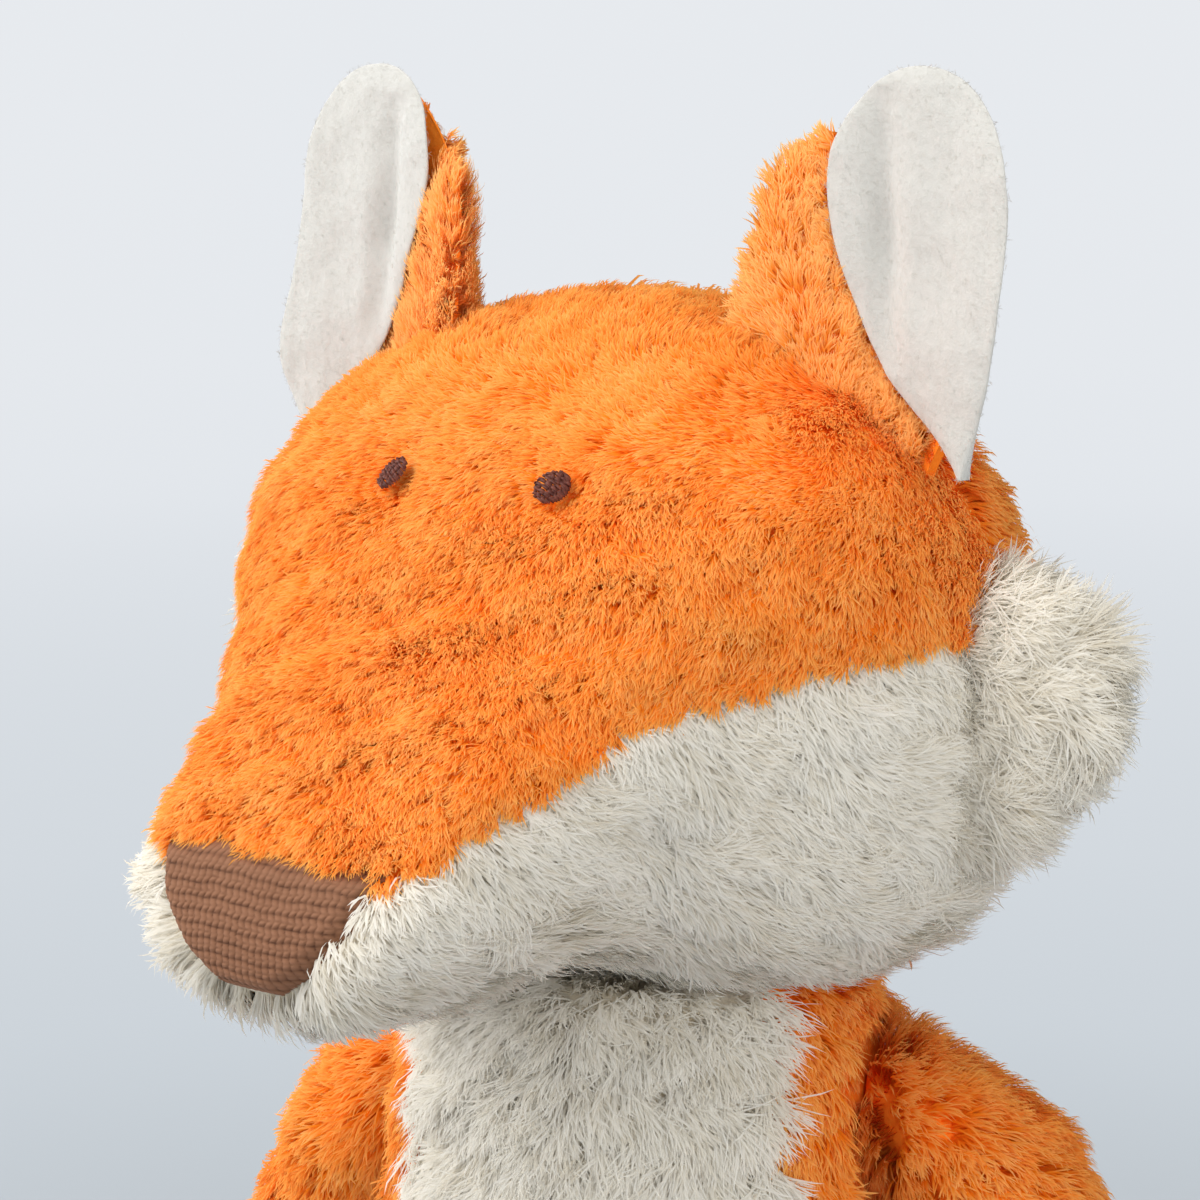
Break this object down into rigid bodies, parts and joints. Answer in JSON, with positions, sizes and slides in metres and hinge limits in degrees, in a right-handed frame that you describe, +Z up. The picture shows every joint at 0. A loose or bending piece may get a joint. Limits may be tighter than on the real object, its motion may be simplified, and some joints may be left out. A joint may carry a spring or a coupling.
{
  "type": "plush fox",
  "caption": "Soft toy fox of long-pile plush that sits on a table, with a turning head, swinging limbs and tail, felt-lined ears, a ribbed cloth nose and stitched eyes.",
  "frame": {"origin": "on the table plane, at the middle of the torso's flat seat", "axes": "+Z up; the chest faces -Y and the tail +Y; the toy's left side is +X"},
  "size_m": [0.1731, 0.2331, 0.2743],
  "materials": {
    "orange_plush": "long soft polyester pile",
    "cream_plush": "long soft polyester pile",
    "wool_felt": "soft matt felt",
    "ribbed_cloth": "fine ribbed knit",
    "embroidery_thread": "satin stitch",
    "stuffing": "loose polyester fibre"
  },
  "bodies": {
    "torso": {"torso_cover": "orange_plush", "chest_panel": "cream_plush", "torso_stuffing": "stuffing"},
    "head": {"face_panel": "orange_plush", "head_back_panel": "orange_plush", "jaw_panel": "cream_plush", "cheek_tuft_left": "cream_plush", "cheek_tuft_right": "cream_plush", "nose_patch": "ribbed_cloth", "eye_left": "embroidery_thread", "eye_right": "embroidery_thread", "ear_back_left": "orange_plush", "ear_back_right": "orange_plush", "ear_lining_left": "wool_felt", "ear_lining_right": "wool_felt", "head_stuffing": "stuffing"},
    "arm_left": {"arm_left_cover": "orange_plush", "arm_left_stuffing": "stuffing"},
    "arm_right": {"arm_right_cover": "orange_plush", "arm_right_stuffing": "stuffing"},
    "leg_left": {"leg_left_cover": "orange_plush", "leg_left_stuffing": "stuffing", "foot_left_sole": "cream_plush"},
    "leg_right": {"leg_right_cover": "orange_plush", "leg_right_stuffing": "stuffing", "foot_right_sole": "cream_plush"},
    "tail": {"tail_cover": "orange_plush", "tail_tip": "cream_plush", "tail_stuffing": "stuffing"}
  },
  "joints": [
    {"name": "head_turn", "type": "hinge", "parent": "torso", "child": "head", "pos_m": [0, 0, 0.14], "axis": [0, 0, 1], "range_deg": [-25, 55]},
    {"name": "arm_left_swing", "type": "hinge", "parent": "torso", "child": "arm_left", "pos_m": [0.035, 0.007, 0.112], "axis": [0.9903, 0, 0.1392], "range_deg": [-80, 30]},
    {"name": "arm_right_swing", "type": "hinge", "parent": "torso", "child": "arm_right", "pos_m": [-0.035, 0.007, 0.112], "axis": [0.9903, 0, -0.1392], "range_deg": [-80, 30]},
    {"name": "leg_left_swing", "type": "hinge", "parent": "torso", "child": "leg_left", "pos_m": [0.039, -0.008, 0.021], "axis": [0.9848, 0.1736, 0], "range_deg": [-30, 0]},
    {"name": "leg_right_swing", "type": "hinge", "parent": "torso", "child": "leg_right", "pos_m": [-0.039, -0.008, 0.021], "axis": [0.9848, -0.1736, 0], "range_deg": [-30, 0]},
    {"name": "tail_swing", "type": "hinge", "parent": "torso", "child": "tail", "pos_m": [0, 0.026, 0.02], "axis": [0, 0, 1], "range_deg": [-20, 20]}
  ]
}
